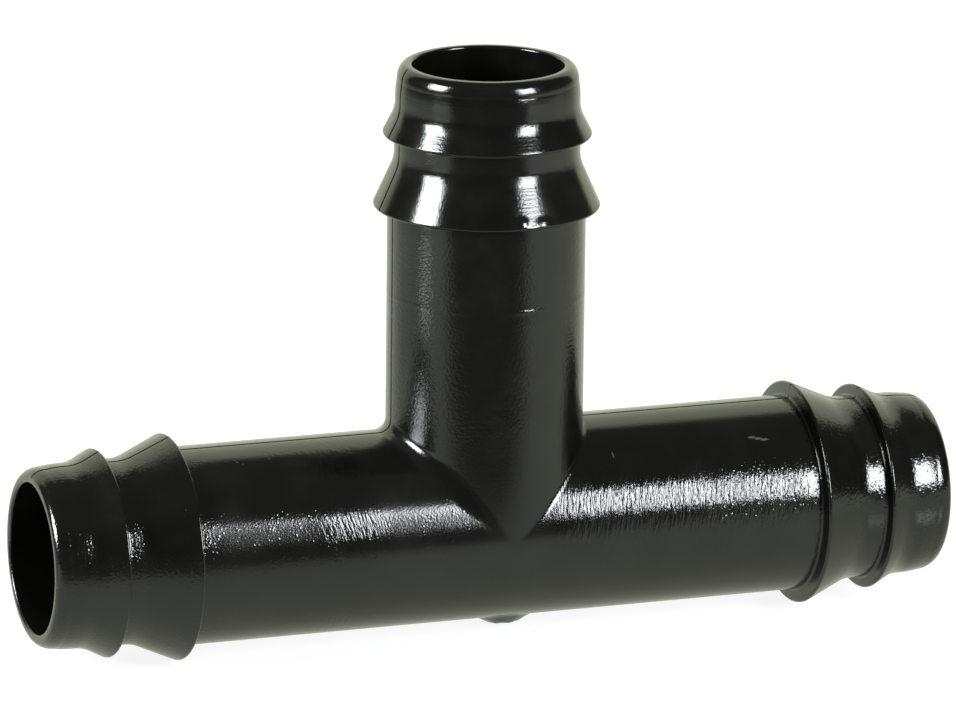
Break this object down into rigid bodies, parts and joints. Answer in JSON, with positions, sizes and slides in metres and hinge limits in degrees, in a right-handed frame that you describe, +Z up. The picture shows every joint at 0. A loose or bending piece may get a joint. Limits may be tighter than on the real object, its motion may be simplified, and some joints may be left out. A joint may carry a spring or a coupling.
{
  "type": "barbed tee pipe fitting",
  "caption": "Barbed tee pipe fitting: a straight tube with a branch at its middle, and at each open end a hose spigot with a plain nose, a small barb and a large barb.",
  "frame": {"origin": "under the branch axis, at the level of the lowest point of the large barbs, midway along the run", "axes": "+X along the straight run from the left mouth to the right mouth, +Z up the branch, +Y to the back; the parting plane of the moulding is Y = 0"},
  "size_m": [0.091, 0.0216, 0.056],
  "materials": {
    "black_polymer": "black moulded polymer, semi-gloss, with fine rings from the mould's turning"
  },
  "bodies": {
    "root": {"junction_hub": "black_polymer", "left_tube": "black_polymer", "left_large_barb": "black_polymer", "left_small_barb": "black_polymer", "left_nose": "black_polymer", "right_tube": "black_polymer", "right_large_barb": "black_polymer", "right_small_barb": "black_polymer", "right_nose": "black_polymer", "branch_tube": "black_polymer", "branch_large_barb": "black_polymer", "branch_small_barb": "black_polymer", "branch_nose": "black_polymer"}
  },
  "joints": []
}
